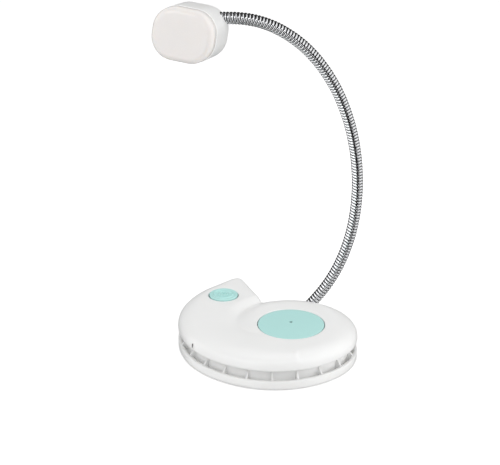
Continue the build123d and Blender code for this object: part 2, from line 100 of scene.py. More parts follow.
# materials
def mouldedPlastic(name, colour, shade, roughness, texture, subsurface=0.0):
    mat, tree, shader, coords = newMaterial(name)
    flow = grain(tree, coords, 9.0)      # slow colour drift of a moulding
    tree.links.new(blendColours(tree, flow.outputs[0], colour, shade), shader.inputs["Base Color"])
    fine = grain(tree, coords, texture)  # the mould's texture, coarser than the real one so that it shows
    sheen = spread(tree, fine.outputs[0], roughness - 0.04, roughness + 0.05)
    tree.links.new(sheen, shader.inputs["Roughness"])
    shader.inputs["IOR"].default_value = 1.54
    shader.inputs["Subsurface Weight"].default_value = subsurface
    shader.inputs["Subsurface Scale"].default_value = 0.002
    shader.inputs["Subsurface Radius"].default_value = (1.0, 0.9, 0.8)
    bump(tree, shader, fine.outputs[0], 0.012)
    return mat


def plainMetal(name, colour, roughness, streak=0.0):
    mat, tree, shader, coords = newMaterial(name)
    shader.inputs["Metallic"].default_value = 1.0
    shader.inputs["Base Color"].default_value = linearColour(colour)
    marks = grain(tree, coords, 0.35)  # polishing marks, coarser than real ones so that they show
    sheen = spread(tree, marks.outputs[0], roughness, roughness + 0.08 + streak)
    tree.links.new(sheen, shader.inputs["Roughness"])
    bump(tree, shader, marks.outputs[0], 0.004 + 0.01 * streak)
    return mat


# colour, shade, roughness, size of the fine texture in mm, light spread inside
whiteAbs = mouldedPlastic("whiteGlossAbs", "f4f4f3", "f1f1f0", 0.30, 0.45, 0.08)   # moulded ABS, a soft gloss
tealAbs = mouldedPlastic("mintTealAbs", "b9e6e2", "b6e3df", 0.34, 0.40, 0.05)      # moulded ABS, a satin face
siliconePad = mouldedPlastic("whiteSilicone", "e4e5e3", "dfe0de", 0.62, 0.25, 0.2)   # moulded, a matt skin
blackPlastic = mouldedPlastic("blackMoulding", "17181a", "1c1d1f", 0.45, 0.3)      # moulded nylon, dull black
smokedAcrylic = mouldedPlastic("smokedAcrylic", "2f3436", "2a2f31", 0.15, 0.8)     # moulded, dark and glassy
pvcJacket = mouldedPlastic("pvcLeadJacket", "a8221d", "9d201c", 0.42, 0.3)         # extruded PVC, waxy red
boardGreen = mouldedPlastic("greenSolderMask", "17512c", "1b5a31", 0.35, 0.6)      # printed lacquer, green
boardWhite = mouldedPlastic("whiteSolderMask", "ecece8", "e6e6e2", 0.38, 0.6)      # printed lacquer, white
phosphor = mouldedPlastic("ledPhosphor", "e6cf6c", "dfc75f", 0.5, 0.2)             # cast resin, a yellow dab
foamTape = mouldedPlastic("closedCellFoam", "26272a", "2d2e31", 0.8, 0.2)          # cut foam, quite matt
petSheet = mouldedPlastic("whitePetFilm", "f6f6f4", "f3f3f1", 0.55, 0.5)           # rolled film, flat white

# colour, roughness, extra streaking
neckChrome = plainMetal("chromePlatedCoil", "e6e7e9", 0.07)      # plated wound steel, mirrors the room
neckShade = plainMetal("coilInnerWire", "1d1e20", 0.35)          # inner core, painted near black as the shade deep in the grooves between turns
zincSteel = plainMetal("zincPlatedSteel", "b9babd", 0.28, 0.1)   # plated small parts, a grey soft-edged shine
foilPouch = plainMetal("laminatedFoil", "c4c7ca", 0.34, 0.12)    # pressed foil, a wrinkled dull silver


def milkyPolycarbonate():  # opal moulding, light spreads inside it and looks faintly warm
    mat, tree, shader, coords = newMaterial("milkyPolycarbonate")
    cloud = grain(tree, coords, 6.0)
    tree.links.new(blendColours(tree, cloud.outputs[0], "eee9e6", "ebe6e3"), shader.inputs["Base Color"])
    fine = grain(tree, coords, 0.3)
    tree.links.new(spread(tree, fine.outputs[0], 0.22, 0.3), shader.inputs["Roughness"])
    shader.inputs["IOR"].default_value = 1.58
    shader.inputs["Subsurface Weight"].default_value = 0.35
    shader.inputs["Subsurface Scale"].default_value = 0.003
    shader.inputs["Subsurface Radius"].default_value = (1.0, 0.85, 0.7)
    bump(tree, shader, fine.outputs[0], 0.006)
    return mat


milky = milkyPolycarbonate()
print("materials made:", len(bpy.data.materials))


# camera, lights, floor
view = {"place": (-0.01765, -0.49366, 0.25684), "pitchDown": 22.016, "focal": 91.872, "sensor": 36.0}
camera = bpy.data.objects.new("camera", bpy.data.cameras.new("camera"))
bpy.context.collection.objects.link(camera)
camera.location = view["place"]
camera.rotation_euler = (math.radians(90 - view["pitchDown"]), 0, 0)
camera.data.lens = view["focal"]
camera.data.sensor_width = view["sensor"]
camera.data.clip_start = 0.01
bpy.context.scene.camera = camera
bpy.context.scene.view_settings.view_transform = "Standard"


# place, what it faces, size in m, power, whether bright metal mirrors it
lights = {"softLeft": ((-0.42, -0.50, 0.55), (0, 0, 0.03), (0.2, 0.2), 0.6, True),
          "softRight": ((0.36, -0.55, 0.52), (0, 0, 0.03), (0.12, 0.16), 0.35, True),
          "softTop": ((-0.1, 0.2, 0.8), (0, 0, 0.03), (0.7, 0.5), 1.12, False),
          "softFront": ((0.0, -0.72, 0.36), (0, 0, 0.01), (0.5, 0.2), 0.28, False),
          "softSide": ((0.65, -0.1, 0.2), (-0.04, 0, 0.12), (0.3, 0.3), 0.95, False)}
for label, (place, target, size, power, mirrored) in lights.items():
    data = bpy.data.lights.new(label, "AREA")
    data.shape = "RECTANGLE"
    data.size, data.size_y = size
    data.energy = power
    lamp = bpy.data.objects.new(label, data)
    bpy.context.collection.objects.link(lamp)
    lamp.location = place
    lamp.rotation_euler = (Vector(target) - Vector(place)).to_track_quat("-Z", "Y").to_euler()
    lamp.visible_glossy = mirrored

# even: light on matt faces, dark: between the cards, soft: blur of a card's edge
room = {"even": 0.78, "dark": 0.03, "soft": 0.06,
        "cards": {                                   # strength, then the span in x, y and z of the direction
            "leftCard": (1.5, (-1.0, -0.22), (-1.0, 0.5), (-0.66, 0.68)),
            "rightCard": (1.1, (0.38, 1.0), (-0.72, 0.6), (-0.5, 0.9)),
            "lowCard": (0.5, (0.3, 1.0), (-0.82, 0.3), (-1.0, -0.42))}}
world = bpy.data.worlds.new("paleStudio")
bpy.context.scene.world = world
world.use_nodes = True
skyTree = world.node_tree
sky = skyTree.nodes["Background"]
direction = addNode(skyTree, "ShaderNodeTexCoord").outputs[0]
facing = addNode(skyTree, "ShaderNodeSeparateXYZ", links={0: direction})
level = None
for strength, *spans in room["cards"].values():
    card = None
    for axis, (low, high) in enumerate(spans):
        for edge, way in ((low, 1), (high, -1)):
            if abs(edge) == 1:      # the span has no end on this side
                continue
            side = addNode(skyTree, "ShaderNodeMapRange",
                           {"From Min": edge, "From Max": edge + way * room["soft"]},
                           {0: facing.outputs[axis]})
            if card:
                side = addNode(skyTree, "ShaderNodeMath", {"operation": "MULTIPLY"},
                               {0: card.outputs[0], 1: side.outputs[0]})
            card = side
    card = addNode(skyTree, "ShaderNodeMath", {"operation": "MULTIPLY", 1: strength}, {0: card.outputs[0]})
    if level:
        card = addNode(skyTree, "ShaderNodeMath", {"operation": "MAXIMUM"},
                       {0: level.outputs[0], 1: card.outputs[0]})
    level = card
cards = addNode(skyTree, "ShaderNodeMath", {"operation": "MAXIMUM", 1: room["dark"]}, {0: level.outputs[0]})
glossyRay = addNode(skyTree, "ShaderNodeLightPath").outputs["Is Glossy Ray"]    # bright metal sees the cards
level = addNode(skyTree, "ShaderNodeMix", {2: room["even"]}, {0: glossyRay, 3: cards.outputs[0]})
skyTree.links.new(level.outputs[0], sky.inputs["Strength"])
sky.inputs["Color"].default_value = (1, 1, 1, 1)

bpy.ops.mesh.primitive_plane_add(size=8, location=(0, 0, -0.0001))
floor = bpy.context.object
floor.name = "floor"
floorMat, floorTree, floorShader, _ = newMaterial("paleFloor")
floorShader.inputs["Base Color"].default_value = linearColour("e8e8e8")
floorShader.inputs["Roughness"].default_value = 0.6
floorShader.inputs["Emission Color"].default_value = (1, 1, 1, 1)
seen = addNode(floorTree, "ShaderNodeLightPath").outputs["Is Camera Ray"]
glow = addNode(floorTree, "ShaderNodeMix", {2: 0.0, 3: 0.4}, {0: seen})    # pale to the eye, glows on nothing
floorTree.links.new(glow.outputs[0], floorShader.inputs["Emission Strength"])
floor.data.materials.append(floorMat)
floor.visible_glossy = False


# snail outline
snail = {"whorl": 28.6, "front": 38.0, "tail": 43.9,                             # radii of the three arcs, mm
         "notch": 114.0, "whorlEnd": -39.0, "frontEnd": -110.0, "tip": -248.0,   # ends of the arcs, degrees
         "tipReach": 5.15, "notchReach": 1.6, "arcSteps": 60}                    # bends of the corners, mm


def polar(centre, radius, degrees):
    angle = math.radians(degrees)
    return Vector((centre[0] + radius * math.cos(angle), centre[1] + radius * math.sin(angle)))


whorlC = Vector((0, 0))
frontC = polar(whorlC, snail["whorl"] - snail["front"], snail["whorlEnd"])
tailC = polar(frontC, snail["front"] - snail["tail"], snail["frontEnd"])
tip = polar(tailC, snail["tail"], snail["tip"])
notch = polar(whorlC, snail["whorl"], snail["notch"])
endDir = (notch - tip).normalized()
endOut = Vector((-endDir.y, endDir.x))


def crossing(centre, radius, inset, near):  # where the end face, moved in, meets an arc
    start = tip - endOut * inset - centre
    b = start.dot(endDir)
    root = math.sqrt(max(b * b - (start.dot(start) - radius * radius), 0))
    hits = [start + endDir * t + centre for t in (-b - root, -b + root)]
    return min(hits, key=lambda q: (q - near).length)


def arcPoints(centre, radius, start, end, count):
    a0 = math.atan2(start.y - centre.y, start.x - centre.x)
    a1 = math.atan2(end.y - centre.y, end.x - centre.x)
    while a1 > a0:
        a1 -= 2 * math.pi
    return [polar(centre, radius, math.degrees(a0 + (a1 - a0) * i / count)) for i in range(count)]


def roundCorner(points, corner, reach, count=8):  # a smooth bend in place of the corner
    n = len(points)
    back = ahead = corner
    while (points[back % n] - points[corner]).length < reach:
        back -= 1
    while (points[ahead % n] - points[corner]).length < reach:
        ahead += 1
    a = points[corner] + (points[back % n] - points[corner]).normalized() * reach
    b = points[corner] + (points[ahead % n] - points[corner]).normalized() * reach
    bend = []
    for i in range(count + 1):
        t = i / count
        bend.append(a * (1 - t) ** 2 + points[corner] * 2 * t * (1 - t) + b * t * t)
    if back < 0:
        return bend + points[ahead:back + n + 1]
    return points[:back + 1] + bend + points[ahead:]


def resample(points, count):  # evenly spaced points on a closed line, from its first point
    loop = points + [points[0]]
    steps = np.array([(b - a).length for a, b in zip(loop, loop[1:])])
    at = np.concatenate([[0], np.cumsum(steps)])
    want = np.linspace(0, at[-1], count, endpoint=False)
    xs = np.interp(want, at, [p.x for p in loop])
    ys = np.interp(want, at, [p.y for p in loop])
    return [Vector((x, y)) for x, y in zip(xs, ys)]


def snailLine(inset):  # the outline moved in by inset, clockwise from the notch, mm
    steps = snail["arcSteps"]
    ra, rb, rc = (snail[k] - inset for k in ("whorl", "front", "tail"))
    p0 = crossing(whorlC, ra, inset, notch)
    p1 = polar(whorlC, ra, snail["whorlEnd"])
    p2 = polar(frontC, rb, snail["frontEnd"])
    p3 = crossing(tailC, rc, inset, tip)
    points = arcPoints(whorlC, ra, p0, p1, steps)
    points += arcPoints(frontC, rb, p1, p2, steps // 2)
    points += arcPoints(tailC, rc, p2, p3, steps)
    points.append(p3)
    corner = len(points) - 1
    points += [p3 + (p0 - p3) * i / 16 for i in range(1, 16)]
    points = roundCorner(points, corner, max(snail["tipReach"] - inset * 0.8, 0.4))
    return roundCorner(points, 0, snail["notchReach"] + inset * 0.5)


lineCount = 240      # points of the outline, the same for every inset, so that rows can be joined


def matchedLine(inset):  # the outline from its point at the right, level with the whorl's centre
    points = snailLine(inset)
    start = min(range(len(points)), key=lambda i: abs(points[i].y) + (100 if points[i].x < 0 else 0))
    return resample(points[start:] + points[:start], lineCount)


def makePiece(name, mesh, material, body, replaced=(), smooth=True):
    piece = bpy.data.objects.new(name, mesh)
    bpy.context.collection.objects.link(piece)
    for mat in (material if isinstance(material, (list, tuple)) else [material]):
        mesh.materials.append(mat)
    if smooth:
        mesh.shade_smooth()
    if body:
        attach(piece, body)
    if replaced:
        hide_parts(*replaced)
    return piece


def meshFrom(name, verts, faces):
    mesh = bpy.data.meshes.new(name)
    mesh.from_pydata([tuple(v) for v in verts], [], faces)
    work = bmesh.new()
    work.from_mesh(mesh)
    bmesh.ops.remove_doubles(work, verts=work.verts, dist=1e-7)
    bmesh.ops.recalc_face_normals(work, faces=work.faces)
    work.to_mesh(mesh)
    work.free()
    return mesh


def rowFaces(rows, count, closedEnds=True):  # quads between closed rows of count points
    faces = []
    for r in range(rows - 1):
        for i in range(count):
            j = (i + 1) % count
            faces.append((r * count + i, r * count + j, (r + 1) * count + j, (r + 1) * count + i))
    if closedEnds:
        faces.append(tuple(range(count)))
        faces.append(tuple((rows - 1) * count + i for i in range(count)))
    return faces


def applied(piece):  # the piece with its modifiers made into plain mesh
    bpy.context.view_layer.update()
    graph = bpy.context.evaluated_depsgraph_get()
    mesh = bpy.data.meshes.new_from_object(piece.evaluated_get(graph))
    piece.modifiers.clear()
    if piece.type == "MESH":
        piece.data = mesh
        return piece
    made = bpy.data.objects.new(piece.name + "Mesh", mesh)
    bpy.context.collection.objects.link(made)
    bpy.data.objects.remove(piece)
    return made


# top shell
shell = {"top": 15.0, "widest": 9.9, "lower": 8.62,                   # heights, mm
         "roundReach": 8.5, "endReach": 3.0, "roundPower": 2.4,       # rounding of the edge, mm, its power
         "valleyDepth": 3.3, "valleyFrom": 244.0, "valleyTo": 362.0,  # mm, and degrees round the whorl
         "valleyShrink": 5.2 / 75, "valleySoft": 1.6,                 # mm lost per degree, width of the blend
         "disc": 14.55, "discSides": 96, "button": (-29.6, 29.8), "buttonHole": 6.75, "buttonSides": 56,
         "buttonFlat": 14.8, "rim": 0.4, "spacing": 0.8, "wall": 0.6}


def smoothStep(low, high, value):
    t = np.clip((value - low) / (high - low), 0, 1)
    return t * t * (3 - 2 * t)


def edgeDrop(distance, reach):  # how far the surface has dropped at a distance in from the edge
    u = np.clip(1 - distance / reach, 0, 1)
    p = shell["roundPower"]
    return (shell["top"] - shell["widest"]) * (1 - (1 - u ** p) ** (1 / p))


def distanceToLine(points, line):  # from each point to the nearest place on a closed line
    a = np.array([tuple(p) for p in line])
    b = np.roll(a, -1, axis=0)
    best = np.full(len(points), 1e9)
    for p, q in zip(a, b):
        d = q - p
        t = np.clip(((points - p) @ d) / max(d @ d, 1e-12), 0, 1)
        best = np.minimum(best, np.hypot(*(points - p - t[:, None] * d).T))
    return best


def insideLine(points, line):  # even-odd count of a closed line's crossings
    ring = np.array([tuple(p) for p in line])
    inside = np.zeros(len(points), bool)
    for p, q in zip(ring, np.roll(ring, -1, axis=0)):
        span = (p[1] > points[:, 1]) != (q[1] > points[:, 1])
        x = p[0] + (points[:, 1] - p[1]) * (q[0] - p[0]) / (q[1] - p[1] + 1e-12)
        inside ^= span & (points[:, 0] < x)
    return inside


def fromCentre(points, centre):
    return np.hypot(points[:, 0] - centre[0], points[:, 1] - centre[1])


def shellHeight(points):  # the top face: the last turn of the whorl stands proud of the body's rounded face
    distance = distanceToLine(points, snailLine(0))
    r = fromCentre(points, (0, 0))
    turn = (snail["notch"] - np.degrees(np.arctan2(points[:, 1], points[:, 0]))) % 360
    whorlR = snail["whorl"] - shell["valleyShrink"] * np.clip(360 - turn, 0, 165)
    fromEnd = -((points - np.array(tip)) @ np.array(endOut))
    reach = shell["endReach"] + (shell["roundReach"] - shell["endReach"]) * smoothStep(1.0, 16.0, fromEnd)
    reach = np.where(turn < 200, shell["roundReach"], reach)
    inner = shell["top"] - edgeDrop(whorlR - r, shell["roundReach"])
    depth = shell["valleyDepth"] * smoothStep(shell["valleyFrom"], shell["valleyTo"], turn)
    outer = shell["top"] - edgeDrop(distance, reach) - depth * (1 - smoothStep(whorlR - 6, whorlR + 5, r))
    inner = np.where((r < whorlR) & (turn > shell["valleyFrom"] - 5), inner, -50.0)
    soft = shell["valleySoft"] * np.clip(depth, 0, 1) + 1e-6
    blend = np.clip(soft - np.abs(inner - outer), 0, None) / soft
    height = np.maximum(inner, outer) + blend * blend * soft / 4
    fromButton = fromCentre(points, shell["button"])
    flat = 1 - smoothStep(shell["buttonHole"] + 0.5, shell["buttonHole"] + 3.6, fromButton)
    return height * (1 - flat) + shell["buttonFlat"] * flat


def circleLine(centre, radius, count):
    return [polar(centre, radius, 360 * i / count) for i in range(count)]


boxFaces = [(0, 1, 3, 2), (4, 6, 7, 5), (0, 4, 5, 1), (2, 3, 7, 6), (0, 2, 6, 4), (1, 5, 7, 3)]


def boxCorners(size):
    half = Vector(size) * 0.5 * mm
    return [Vector((x * half.x, y * half.y, z * half.z)) for x in (-1, 1) for y in (-1, 1) for z in (-1, 1)]


openings = {"usbSize": (7.0, 7.9, 2.9), "usbZ": 11.3,                        # depth, width, height, mm
            "slotSize": (3.6, 1.0, 1.9), "slotZ": 10.6, "slotTurn": 213.0}   # degrees round the tail's arc


def shellCuts():  # the boxes that are cut through the shell: label, place, turn, size
    middle = (tip + notch) / 2
    edge = polar(tailC, snail["tail"], openings["slotTurn"])
    endTurn = math.degrees(math.atan2(endOut.y, endOut.x))
    return [("usbOpening", (middle.x, middle.y, openings["usbZ"]), endTurn, openings["usbSize"]),
            ("lightSlot", (edge.x, edge.y, openings["slotZ"]), openings["slotTurn"], openings["slotSize"])]


def shellFace(edge, holes):  # flat points and triangles inside the edge line and outside the round holes
    s = shell["spacing"]
    rowGap = s * 0.866                               # rows of an even triangle grid
    low = Vector((-52, -33))                         # the grid's first corner and its size, mm
    size = Vector((90, 100))
    grid = np.array([(low.x + (i + 0.5 * (j % 2)) * s, low.y + j * rowGap)
                     for j in range(int(size.y / rowGap)) for i in range(int(size.x / s))])
    keep = insideLine(grid, edge) & (distanceToLine(grid, edge) > 0.45 * s)
    for centre, radius, _ in holes:
        keep &= fromCentre(grid, centre) > radius + 0.4 * s
    lines = [edge] + [circleLine(centre, radius, sides) for centre, radius, sides in holes]
    loops, at = [], 0
    for line in lines:
        loops += [(at + i, at + (i + 1) % len(line)) for i in range(len(line))]
        at += len(line)
    points = [p for line in lines for p in line] + [Vector(p) for p in grid[keep]]
    flatPoints, _, faces, _, _, _ = delaunay_2d_cdt(points, loops, [], 0, 1e-6)
    centres = np.array([np.mean([tuple(flatPoints[i]) for i in f], axis=0) for f in faces])
    keep = insideLine(centres, edge)
    for centre, radius, _ in holes:
        keep &= fromCentre(centres, centre) > radius
    return np.array([tuple(p) for p in flatPoints]), [tuple(f) for f, k in zip(faces, keep) if k]


def shellMesh():  # the face, the rolled edge and the two rims, before the wall gets its thickness
    edgeInsets = (0.0, 0.06, 0.2, 0.45, 0.8, 1.25, 1.8)
    lowerRoll = ((0.8, shell["lower"]), (0.42, 8.66), (0.18, 8.85), (0.05, 9.15), (0.0, 9.5))  # inset, height
    rimRoll = ((1.0, 0.0), (0.55, 0.03), (0.2, 0.14), (0.03, 0.32), (0.0, 0.55), (0.0, 1.3))   # share, drop
    rims = [((0, 0), shell["disc"], shell["discSides"]),
            (shell["button"], shell["buttonHole"], shell["buttonSides"])]
    holes = [(centre, hole + shell["rim"], sides) for centre, hole, sides in rims]
    flatPoints, faces = shellFace(matchedLine(edgeInsets[-1]), holes)
    verts = [(x, y, z) for (x, y), z in zip(flatPoints, shellHeight(flatPoints))]
    base = len(verts)
    for inset, z in lowerRoll:
        verts += [(p.x, p.y, z) for p in matchedLine(inset)]
    for inset in edgeInsets:
        edge = np.array([tuple(p) for p in matchedLine(inset)])
        verts += [(x, y, z) for (x, y), z in zip(edge, shellHeight(edge))]
    side = rowFaces(len(lowerRoll) + len(edgeInsets), lineCount, False)
    faces += [tuple(base + i for i in f) for f in side]
    for centre, hole, sides in rims:
        rim = np.array([tuple(p) for p in circleLine(centre, hole + shell["rim"], sides)])
        heights = shellHeight(rim)
        base = len(verts)
        for share, drop in rimRoll:
            ring = circleLine(centre, hole + shell["rim"] * share, sides)
            verts += [(p.x, p.y, z - drop) for p, z in zip(ring, heights)]
        faces += [tuple(base + i for i in f) for f in rowFaces(len(rimRoll), sides, False)]
    return meshFrom("snailShell", [Vector(v) * mm for v in verts], faces)


def makeShell():
    mesh = shellMesh()
    piece = makePiece("snailShell", mesh, whiteAbs, None)
    if max(mesh.polygons, key=lambda f: f.area).normal.z < 0:
        mesh.flip_normals()
    wall = piece.modifiers.new("wall", "SOLIDIFY")
    wall.thickness = shell["wall"] * mm
    wall.offset = -1
    cutters = []
    for label, place, turn, size in shellCuts():
        tool = makePiece(label, meshFrom(label, boxCorners(size), boxFaces), whiteAbs, None, smooth=False)
        turned = Matrix.Rotation(math.radians(turn), 4, "Z")
        tool.matrix_world = Matrix.Translation(Vector(place) * mm) @ turned
        cut = piece.modifiers.new(label, "BOOLEAN")
        cut.operation = "DIFFERENCE"
        cut.object = tool
        cutters.append(tool)
    applied(piece)
    for tool in cutters:
        bpy.data.objects.remove(tool)
    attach(piece, "housing")
    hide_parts("top_shell")


makeShell()
print("shell made")


# lower jaw
jaw = {"floor": 2.0, "lip": 4.2, "lipWall": 1.5, "wallInset": 3.4, "wallTop": 8.0, "wallThick": 1.4,
       "wallEnds": 20.0}      # past this y the lip and the wall stop and only the floor goes on


def makeJaw():
    lipIn = jaw["lipWall"]
    w0, w1 = jaw["wallInset"], jaw["wallInset"] + jaw["wallThick"]
    top, lip, low = jaw["wallTop"], jaw["lip"], jaw["floor"]
    profile = [(1.4, 0.0), (0.7, 0.06), (0.25, 0.3), (0.03, 0.8), (0.0, 1.3), (0.0, lip - 0.5)]   # outside
    profile += [(0.1, lip - 0.17), (0.35, lip), (0.75, lip + 0.03), (lipIn - 0.35, lip),          # lip
                (lipIn - 0.1, lip - 0.15), (lipIn, lip - 0.45), (lipIn + 0.02, low + 0.35)]
    profile += [(lipIn + 0.3, low), (w0 - 0.3, low), (w0 - 0.02, low + 0.3)]                      # floor
    profile += [(w0, top - 0.25), (w0 + 0.2, top), (w1 - 0.2, top), (w1, top - 0.25),             # inner wall
                (w1 + 0.02, low + 0.3), (w1 + 0.3, low)]
    verts = []
    for inset, z in profile:
        for p in matchedLine(inset):
            share = float(smoothStep(jaw["wallEnds"] - 0.2, jaw["wallEnds"] + 0.5, np.float64(p.y)))
            verts.append(Vector((p.x, p.y, z + (min(z, low) - z) * share)) * mm)
    mesh = meshFrom("lowerJaw", verts, rowFaces(len(profile), lineCount))
    work = bmesh.new()
    work.from_mesh(mesh)
    bmesh.ops.triangulate(work, faces=[f for f in work.faces if len(f.verts) > 4])
    work.to_mesh(mesh)
    work.free()
    return mesh


makePiece("lowerJawTray", makeJaw(), whiteAbs, "lower_jaw", ["lower_jaw"])
print("jaw made")


# gooseneck
neck = {"foot": (11.73, 31.36, 11.97), "azimuth": 15.4, "lean": 8.8, "rise": 49.8,    # mm and degrees
        "bends": [20.1, 14.6, 11.1, 9.9, 10.9, 14.0, 19.3, 26.8], "stretchSteps": 12,
        "length": 169.0, "root": 9.9, "tip": 15.9,                                    # root is in the shell
        "pitch": 1.42, "wire": 0.56, "wireDepth": 0.32, "radius": 2.45, "core": 1.8, "turnPoints": 20}
neckOut = Vector((math.cos(math.radians(neck["azimuth"])), math.sin(math.radians(neck["azimuth"])), 0))
neckLean = math.radians(neck["lean"])
neckUp = Vector((neckOut.y * math.sin(neckLean), -neckOut.x * math.sin(neckLean), math.cos(neckLean)))
neckAcross = neckOut.cross(neckUp)


def neckPoint(x, y):  # from the neck's own flat plane to the lamp's frame, mm
    return Vector(neck["foot"]) + neckOut * x + neckUp * y


def neckLine():  # the length along the centreline with each of its points, mm
    step = neck["length"] / len(neck["bends"])
    rise = math.radians(neck["rise"])
    way = Vector((math.cos(rise), math.sin(rise)))
    points = [(-neck["root"], neckPoint(*(-way * neck["root"])))]
    x = y = 0.0
    for i, bend in enumerate(neck["bends"]):
        turn = math.radians(bend)
        radius = step / turn
        for k in range(neck["stretchSteps"]):
            share = k / neck["stretchSteps"]
            angle = rise + turn * share
            place = neckPoint(x + radius * (math.sin(angle) - math.sin(rise)),
                              y + radius * (math.cos(rise) - math.cos(angle)))
            points.append((step * (i + share), place))
        x += radius * (math.sin(rise + turn) - math.sin(rise))
        y += radius * (math.cos(rise) - math.cos(rise + turn))
        rise += turn
    points.append((neck["length"], neckPoint(x, y)))
    points.append((neck["length"] + neck["tip"],
                   neckPoint(x + math.cos(rise) * neck["tip"], y + math.sin(rise) * neck["tip"])))
    return points


neckPoints = neckLine()


def newTree(name, inputs):  # a geometry tree with a Geometry socket in and out, and named inputs
    tree = bpy.data.node_groups.new(name, "GeometryNodeTree")
    tree.interface.new_socket("Geometry", in_out="INPUT", socket_type="NodeSocketGeometry")
    tree.interface.new_socket("Geometry", in_out="OUTPUT", socket_type="NodeSocketGeometry")
    for label, kind in inputs.items():
        tree.interface.new_socket(label, in_out="INPUT", socket_type="NodeSocket" + kind)
    return tree, addNode(tree, "NodeGroupInput"), addNode(tree, "NodeGroupOutput")


def treeModifier(piece, tree, values):
    modifier = piece.modifiers.new(tree.name, "NODES")
    modifier.node_group = tree
    for item in tree.interface.items_tree:
        if item.in_out == "INPUT" and item.name in values:
            modifier[item.identifier] = values[item.name]


def coilTree():  # an oval wire wound round a plain core along the curve
    tree, start, end = newTree("woundNeck", {
        "Start": "Float", "End": "Float", "Pitch": "Float", "Wire": "Float", "Wire Depth": "Float",
        "Radius": "Float", "Core": "Float", "Across": "Vector", "Turn Points": "Float",
        "Outer": "Material", "Inner": "Material"})
    pin = start.outputs
    trim = addNode(tree, "GeometryNodeTrimCurve", {"mode": "LENGTH"},
                   {"Curve": pin["Geometry"], 4: pin["Start"], 5: pin["End"]})
    span = addNode(tree, "ShaderNodeMath", {"operation": "SUBTRACT"}, {0: pin["End"], 1: pin["Start"]})
    turns = addNode(tree, "ShaderNodeMath", {"operation": "DIVIDE"}, {0: span.outputs[0], 1: pin["Pitch"]})
    count = addNode(tree, "ShaderNodeMath", {"operation": "MULTIPLY"},
                    {0: turns.outputs[0], 1: pin["Turn Points"]})
    fine = addNode(tree, "GeometryNodeResampleCurve",
                   links={"Curve": trim.outputs[0], "Count": count.outputs[0]})
    along = addNode(tree, "GeometryNodeSplineParameter")
    whole = addNode(tree, "ShaderNodeMath", {"operation": "ADD"},
                    {0: along.outputs["Length"], 1: pin["Start"]})
    wound = addNode(tree, "ShaderNodeMath", {"operation": "DIVIDE"}, {0: whole.outputs[0], 1: pin["Pitch"]})
    angle = addNode(tree, "ShaderNodeMath", {"operation": "MULTIPLY", 1: 2 * math.pi}, {0: wound.outputs[0]})
    cosine = addNode(tree, "ShaderNodeMath", {"operation": "COSINE"}, {0: angle.outputs[0]})
    sine = addNode(tree, "ShaderNodeMath", {"operation": "SINE"}, {0: angle.outputs[0]})
    tangent = addNode(tree, "GeometryNodeInputTangent")
    sideways = addNode(tree, "ShaderNodeVectorMath", {"operation": "CROSS_PRODUCT"},
                       {0: tangent.outputs[0], 1: pin["Across"]})
    partA = addNode(tree, "ShaderNodeVectorMath", {"operation": "SCALE"},
                    {0: sideways.outputs[0], "Scale": cosine.outputs[0]})
    partB = addNode(tree, "ShaderNodeVectorMath", {"operation": "SCALE"},
                    {0: pin["Across"], "Scale": sine.outputs[0]})
    both = addNode(tree, "ShaderNodeVectorMath", {"operation": "ADD"},
                   {0: partA.outputs[0], 1: partB.outputs[0]})
    reach = addNode(tree, "ShaderNodeMath", {"operation": "SUBTRACT"},
                    {0: pin["Radius"], 1: pin["Wire Depth"]})
    offset = addNode(tree, "ShaderNodeVectorMath", {"operation": "SCALE"},
                     {0: both.outputs[0], "Scale": reach.outputs[0]})
    facing = addNode(tree, "GeometryNodeSetCurveNormal", {"mode": "FREE"},
                     {"Curve": fine.outputs[0], "Normal": both.outputs[0]})
    helix = addNode(tree, "GeometryNodeSetPosition",
                    links={"Geometry": facing.outputs[0], "Offset": offset.outputs[0]})
    ring = addNode(tree, "GeometryNodeCurvePrimitiveCircle", {"Resolution": 12, "Radius": 1.0})
    oval = addNode(tree, "ShaderNodeCombineXYZ", {2: 1.0}, {0: pin["Wire Depth"], 1: pin["Wire"]})
    flat = addNode(tree, "GeometryNodeTransform",
                   links={"Geometry": ring.outputs[0], "Scale": oval.outputs[0]})
    coil = addNode(tree, "GeometryNodeCurveToMesh", {"Fill Caps": True},
                   {"Curve": helix.outputs[0], "Profile Curve": flat.outputs[0]})
    outer = addNode(tree, "GeometryNodeSetMaterial", links={0: coil.outputs[0], "Material": pin["Outer"]})
    # the core takes the Inner finish, painted dark as the shade in the grooves
    tube = addNode(tree, "GeometryNodeCurvePrimitiveCircle", {"Resolution": 20}, {"Radius": pin["Core"]})
    core = addNode(tree, "GeometryNodeCurveToMesh", {"Fill Caps": True},
                   {"Curve": trim.outputs[0], "Profile Curve": tube.outputs[0]})
    inner = addNode(tree, "GeometryNodeSetMaterial", links={0: core.outputs[0], "Material": pin["Inner"]})
    join = addNode(tree, "GeometryNodeJoinGeometry")
    tree.links.new(inner.outputs[0], join.inputs[0])
    tree.links.new(outer.outputs[0], join.inputs[0])
    tree.links.new(join.outputs[0], end.inputs[0])
    return tree


def polyCurve(name, points):
    data = bpy.data.curves.new(name, "CURVE")
    data.dimensions = "3D"
    spline = data.splines.new("POLY")
    spline.points.add(len(points) - 1)
    for slot, point in zip(spline.points, points):
        slot.co = (*(Vector(point) * mm), 1)
    curve = bpy.data.objects.new(name, data)
    bpy.context.collection.objects.link(curve)
    return curve


